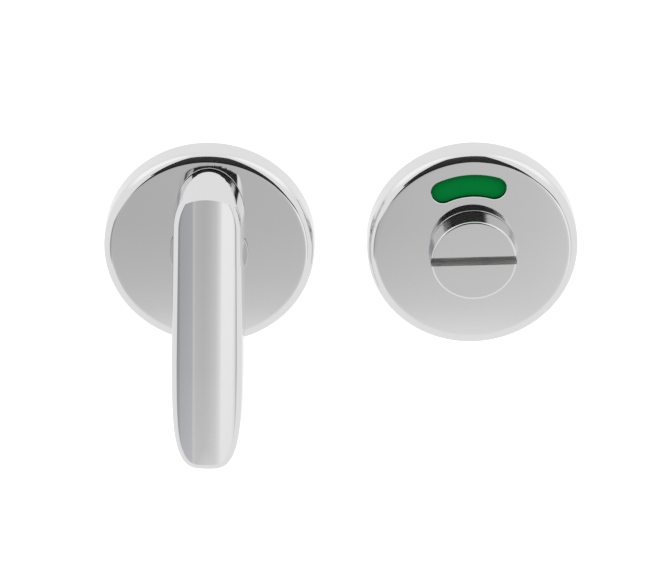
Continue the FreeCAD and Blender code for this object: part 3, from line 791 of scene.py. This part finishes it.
def hood_point(i, ring):
    """Round arch over long straight sides; it comes down as it comes forwards."""
    height = HOOD_HEIGHTS[ring]
    fall = (TOP_BACK_Z - TOP_FRONT_Z) * (height - HOOD_BACK) / (LEVER_FRONT - HOOD_BACK)
    top = TOP_BACK_Z - fall - HOOD_R
    if i <= HOOD_STEPS:
        a = math.pi * i / HOOD_STEPS
        return HOOD_R * math.cos(a), height, top + HOOD_R * math.sin(a)
    side = -1.0 if i == HOOD_STEPS + 1 else 1.0
    return side * (HOOD_R + 2.0), height, TIP_Z - 10.0


lever = ring_body("turn_lever_polished", 4 * AROUND, RINGS, lever_point)
hood = fill_ends(ring_body("hood", HOOD_STEPS + 3, 2, hood_point))
cut_with(lever, hood, "INTERSECT")
finish_shape(lever, "turn_lever_polished")
print("lever faces:", len(lever.data.polygons))

# %% [markdown]
# ## Boss and shaft
# A low round boss closes the cover's hole, and the shaft behind it runs in the bush. Both are
# turned in one profile, the spindle's square hole is cut, and the lot is joined to the lever.

# %% Boss, shaft and joining
BOSS_R, BOSS_FRONT, BOSS_EDGE = 9.6, ROSE_DEPTH + 1.3, 0.06
SPINDLE_HOLE = (5.1, 5.1)
boss_profile = shaft_profile() + [(BOSS_R, BEHIND)]
boss_profile += arc(BOSS_R - BOSS_EDGE, BOSS_FRONT - BOSS_EDGE, BOSS_EDGE, 0.0, 90.0, 4)
boss_profile += [(BOSS_R - 0.4, BOSS_FRONT), (0.0, BOSS_FRONT)]
boss = lathe("boss", AXES["turn"], boss_profile, 192)
cut_with(boss, block(AXES["turn"], SPINDLE_HOLE, -1.0, BOSS_FRONT - 0.1))
lever.data.materials.append(MIRROR)
boss.data.materials.append(TURNED)
only(lever)
boss.select_set(True)
bpy.ops.object.join()
lever.rotation_euler.y = math.radians(REST_TURN)
finish_shape(lever, "turn_lever_polished")
even_normals(lever)
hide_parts("turn_lever")
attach(lever, "turn")

# %% [markdown]
# ## Bolts and screws with real threads
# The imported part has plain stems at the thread's outer size. A thread is a small four-sided
# ridge carried round and along at once, which is what the Screw modifier does. Its foot is
# sunk in the turned core, and it fades into the core at both ends. The head's cross is cut
# with two crossed blocks. One fastener is made, then copied for the second place.

# %% Thread, fastener and pair
SUNK, THREAD_STEPS = 0.1, 24


def thread(r_core, r_ridge, pitch, back, front, taper=0.0):
    """Right-hand ridge between two heights; it narrows to a point over the taper."""
    bpy.ops.object.select_all(action="DESELECT")
    bpy.ops.mesh.primitive_circle_add(vertices=4, radius=MM)
    obj = bpy.context.object
    foot, crest = 0.43 * pitch, 0.07 * pitch
    inner = r_core - SUNK
    corners = [(inner, -foot), (r_ridge, -crest), (r_ridge, crest), (inner, foot)]
    for vertex, (r, along) in zip(obj.data.vertices, corners):
        vertex.co = (r * MM, along * MM, 0.0)
    coil = obj.modifiers.new("coil", "SCREW")
    coil.axis = "Y"
    coil.angle = 2.0 * math.pi
    coil.screw_offset = -pitch * MM
    coil.iterations = int((front - back - 2.0 * foot) / pitch)
    coil.steps = coil.render_steps = THREAD_STEPS
    bpy.ops.object.modifier_apply(modifier="coil")
    tail = -back - foot
    for vertex in obj.data.vertices:
        x, y, z = vertex.co / MM
        y += tail
        reach = math.hypot(x, z)
        left = min(1.0, (tail + foot - y) / pitch, (y + front) / pitch)
        wanted = inner + (reach - inner) * max(0.0, left)
        if taper:
            wanted *= min(1.0, 0.12 + 0.88 * (-back - y) / taper)
        vertex.co = Vector((x * wanted / reach, y, z * wanted / reach)) * MM
    return fill_ends(obj)


def fastener(name, profile, ridge, top, cross_depth, cross_w, cross_long):
    """Turned blank with its cross cut into the head, joined to its thread."""
    obj = lathe(name, 0.0, profile, 48)
    for size in ((cross_w, cross_long), (cross_long, cross_w)):
        cut_with(obj, block(0.0, size, top - cross_depth, top + 1.0))
    only(obj)
    ridge.select_set(True)
    bpy.ops.object.join()
    return finish_shape(obj, name)


def pair_of(obj, places, node_name):
    """Copies the fastener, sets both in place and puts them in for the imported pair."""
    only(obj)
    bpy.ops.object.duplicate()
    second = bpy.context.object
    for piece, (x, z) in zip((obj, second), places):
        piece.location = (x * MM, 0.0, z * MM)
    only(obj)
    second.select_set(True)
    bpy.ops.object.join()
    finish_shape(obj, obj.name)
    obj.data.materials.append(PLATED)
    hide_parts(node_name)
    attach(obj, "roses")
    print(node_name, "faces:", len(obj.data.polygons))


# %% [markdown]
# ## Two bolts and four wood screws
# The bolts are M4 with round heads. The screws have a flat countersunk head, a wider pitch
# and a thread that runs out to a point.

# %% Bolts and screws
BASE, BOLT_SEAT = 3.4, 2.2
BOLT_HEAD_R, BOLT_HEAD_H, BOLT_ROUND = 3.6, 2.4, 0.8
BOLT_END, BOLT_TIP, BOLT_CORE, BOLT_NECK = -26.0, 1.3, 1.62, 1.75
BOLT_R, BOLT_PITCH, BOLT_X = 2.0, 0.7, 19.0
bolt_top = BOLT_SEAT + BOLT_HEAD_H
bolt_profile = [(0.0, BOLT_END), (BOLT_TIP, BOLT_END), (BOLT_CORE, BOLT_END + 0.4)]
bolt_profile += [(BOLT_CORE, -0.4), (BOLT_NECK, -0.3), (BOLT_NECK, BOLT_SEAT)]
bolt_profile += [(BOLT_HEAD_R, BOLT_SEAT)]
bolt_profile += arc(BOLT_HEAD_R - BOLT_ROUND, bolt_top - BOLT_ROUND, BOLT_ROUND, 0.0, 90.0, 8)
bolt_profile += [(0.0, bolt_top)]
bolt_ridge = thread(BOLT_CORE, BOLT_R, BOLT_PITCH, BOLT_END + 0.1, -0.3)
bolt = fastener("fixing_bolts_threaded", bolt_profile, bolt_ridge, bolt_top,
                cross_depth=1.3, cross_w=0.9, cross_long=4.4)
pair_of(bolt, [(-BOLT_X, 0.0), (BOLT_X, 0.0)], "fixing_bolts")

SCREW_CORE, SCREW_R, SCREW_PITCH, SCREW_TAPER, SCREW_Z = 1.05, 1.6, 1.4, 2.8, 19.5
SCREW_END, SCREW_NECK, SCREW_HEAD_R, SCREW_HEAD_H = -11.0, 1.3, 3.2, 1.9
screw_profile = [(0.0, SCREW_END), (0.08, SCREW_END + 0.05), (SCREW_CORE, SCREW_END + 3.0)]
screw_profile += [(SCREW_CORE, -0.6), (SCREW_NECK, -0.2), (SCREW_NECK, BASE - SCREW_HEAD_H)]
screw_profile += [(SCREW_HEAD_R, BASE), (0.0, BASE)]
for half, middle in (("turn", 0.0), ("release", SPACING)):
    ridge = thread(SCREW_CORE, SCREW_R, SCREW_PITCH, SCREW_END + 0.2, -0.4, SCREW_TAPER)
    screw = fastener(half + "_screws_threaded", screw_profile, ridge, BASE,
                     cross_depth=1.1, cross_w=0.8, cross_long=3.6)
    pair_of(screw, [(middle, SCREW_Z), (middle, -SCREW_Z)], half + "_screws")
